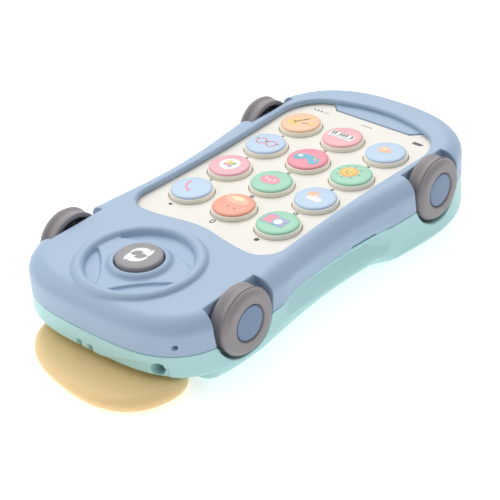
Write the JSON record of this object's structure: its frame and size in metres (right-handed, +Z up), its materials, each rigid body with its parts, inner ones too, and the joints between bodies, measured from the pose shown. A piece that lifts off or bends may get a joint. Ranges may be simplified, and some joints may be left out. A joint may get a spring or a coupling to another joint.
{
  "type": "toy cell phone",
  "caption": "Car-shaped toy phone with round music keys in a screen panel, a moulded steering wheel button, free wheels and a soft rear wing.",
  "frame": {"origin": "on the resting plane under the centre of the outline, keys facing up", "axes": "+X across the body, +Y towards the screen end, +Z up through the keys"},
  "size_m": [0.079, 0.168, 0.0284],
  "materials": {
    "shell_blue": "satin",
    "shell_mint": "satin",
    "panel_ivory": "satin",
    "key_peach": "gloss",
    "key_pink": "gloss",
    "key_sky": "gloss",
    "key_green": "gloss",
    "key_coral": "gloss",
    "button_grey": "satin",
    "wheel_grey": "satin",
    "cap_blue": "satin",
    "steel": "bright",
    "wing_silicone": "matt",
    "switch_dark": "satin",
    "circuit_green": "gloss",
    "membrane_grey": "matt",
    "speaker_dark": "matt",
    "cell_wrap": "gloss",
    "contact_nickel": "bright",
    "chip_black": "gloss",
    "lamp_white": "gloss"
  },
  "bodies": {
    "housing": {"upper_shell": "shell_blue", "lower_shell": "shell_mint", "key_panel": "panel_ivory", "rear_wing": "wing_silicone", "wing_clamp": "shell_mint", "wing_screws": "steel", "battery_door": "shell_mint", "door_screw": "steel", "slide_switch": "contact_nickel", "key_board": "circuit_green", "mode_board": "circuit_green", "key_membrane": "membrane_grey", "mode_dome": "membrane_grey", "loudspeaker": "speaker_dark", "battery_a": "cell_wrap", "battery_b": "cell_wrap", "battery_contacts": "contact_nickel", "sound_chip": "chip_black", "indicator_lamps": "lamp_white", "case_screws": "steel", "board_screws": "steel"},
    "key_1_cap": {"key_1": "key_peach"},
    "key_2_cap": {"key_2": "key_pink"},
    "key_3_cap": {"key_3": "key_sky"},
    "key_4_cap": {"key_4": "key_sky"},
    "key_5_cap": {"key_5": "key_pink"},
    "key_6_cap": {"key_6": "key_green"},
    "key_7_cap": {"key_7": "key_pink"},
    "key_8_cap": {"key_8": "key_green"},
    "key_9_cap": {"key_9": "key_sky"},
    "key_star_cap": {"key_star": "key_sky"},
    "key_0_cap": {"key_0": "key_coral"},
    "key_hash_cap": {"key_hash": "key_green"},
    "mode_button_cap": {"mode_button": "button_grey"},
    "wheel_front_left": {"wheel_fl": "wheel_grey", "hub_cap_fl": "cap_blue", "stub_axle_fl": "steel"},
    "wheel_front_right": {"wheel_fr": "wheel_grey", "hub_cap_fr": "cap_blue", "stub_axle_fr": "steel"},
    "wheel_rear_left": {"wheel_rl": "wheel_grey", "hub_cap_rl": "cap_blue", "stub_axle_rl": "steel"},
    "wheel_rear_right": {"wheel_rr": "wheel_grey", "hub_cap_rr": "cap_blue", "stub_axle_rr": "steel"},
    "power_switch": {"switch_knob": "switch_dark"}
  },
  "joints": [
    {"name": "key_1_press", "type": "slide", "parent": "housing", "child": "key_1_cap", "axis": [0, 0, -1], "range_m": [0, 0.001], "stiffness_N_per_m": 600, "springref_m": -0.0005},
    {"name": "key_2_press", "type": "slide", "parent": "housing", "child": "key_2_cap", "axis": [0, 0, -1], "range_m": [0, 0.001], "stiffness_N_per_m": 600, "springref_m": -0.0005},
    {"name": "key_3_press", "type": "slide", "parent": "housing", "child": "key_3_cap", "axis": [0, 0, -1], "range_m": [0, 0.001], "stiffness_N_per_m": 600, "springref_m": -0.0005},
    {"name": "key_4_press", "type": "slide", "parent": "housing", "child": "key_4_cap", "axis": [0, 0, -1], "range_m": [0, 0.001], "stiffness_N_per_m": 600, "springref_m": -0.0005},
    {"name": "key_5_press", "type": "slide", "parent": "housing", "child": "key_5_cap", "axis": [0, 0, -1], "range_m": [0, 0.001], "stiffness_N_per_m": 600, "springref_m": -0.0005},
    {"name": "key_6_press", "type": "slide", "parent": "housing", "child": "key_6_cap", "axis": [0, 0, -1], "range_m": [0, 0.001], "stiffness_N_per_m": 600, "springref_m": -0.0005},
    {"name": "key_7_press", "type": "slide", "parent": "housing", "child": "key_7_cap", "axis": [0, 0, -1], "range_m": [0, 0.001], "stiffness_N_per_m": 600, "springref_m": -0.0005},
    {"name": "key_8_press", "type": "slide", "parent": "housing", "child": "key_8_cap", "axis": [0, 0, -1], "range_m": [0, 0.001], "stiffness_N_per_m": 600, "springref_m": -0.0005},
    {"name": "key_9_press", "type": "slide", "parent": "housing", "child": "key_9_cap", "axis": [0, 0, -1], "range_m": [0, 0.001], "stiffness_N_per_m": 600, "springref_m": -0.0005},
    {"name": "key_star_press", "type": "slide", "parent": "housing", "child": "key_star_cap", "axis": [0, 0, -1], "range_m": [0, 0.001], "stiffness_N_per_m": 600, "springref_m": -0.0005},
    {"name": "key_0_press", "type": "slide", "parent": "housing", "child": "key_0_cap", "axis": [0, 0, -1], "range_m": [0, 0.001], "stiffness_N_per_m": 600, "springref_m": -0.0005},
    {"name": "key_hash_press", "type": "slide", "parent": "housing", "child": "key_hash_cap", "axis": [0, 0, -1], "range_m": [0, 0.001], "stiffness_N_per_m": 600, "springref_m": -0.0005},
    {"name": "mode_press", "type": "slide", "parent": "housing", "child": "mode_button_cap", "axis": [0, 0, -1], "range_m": [0, 0.0015], "stiffness_N_per_m": 600, "springref_m": -0.0005},
    {"name": "front_left_spin", "type": "hinge", "parent": "housing", "child": "wheel_front_left", "pos_m": [-0.0367, -0.0432, 0.0177], "axis": [1, 0, 0], "continuous": true},
    {"name": "front_right_spin", "type": "hinge", "parent": "housing", "child": "wheel_front_right", "pos_m": [0.0367, -0.0432, 0.0177], "axis": [1, 0, 0], "continuous": true},
    {"name": "rear_left_spin", "type": "hinge", "parent": "housing", "child": "wheel_rear_left", "pos_m": [-0.0367, 0.0499, 0.0177], "axis": [1, 0, 0], "continuous": true},
    {"name": "rear_right_spin", "type": "hinge", "parent": "housing", "child": "wheel_rear_right", "pos_m": [0.0367, 0.0499, 0.0177], "axis": [1, 0, 0], "continuous": true},
    {"name": "power_slide", "type": "slide", "parent": "housing", "child": "power_switch", "axis": [1, 0, 0], "range_m": [0, 0.005]}
  ]
}
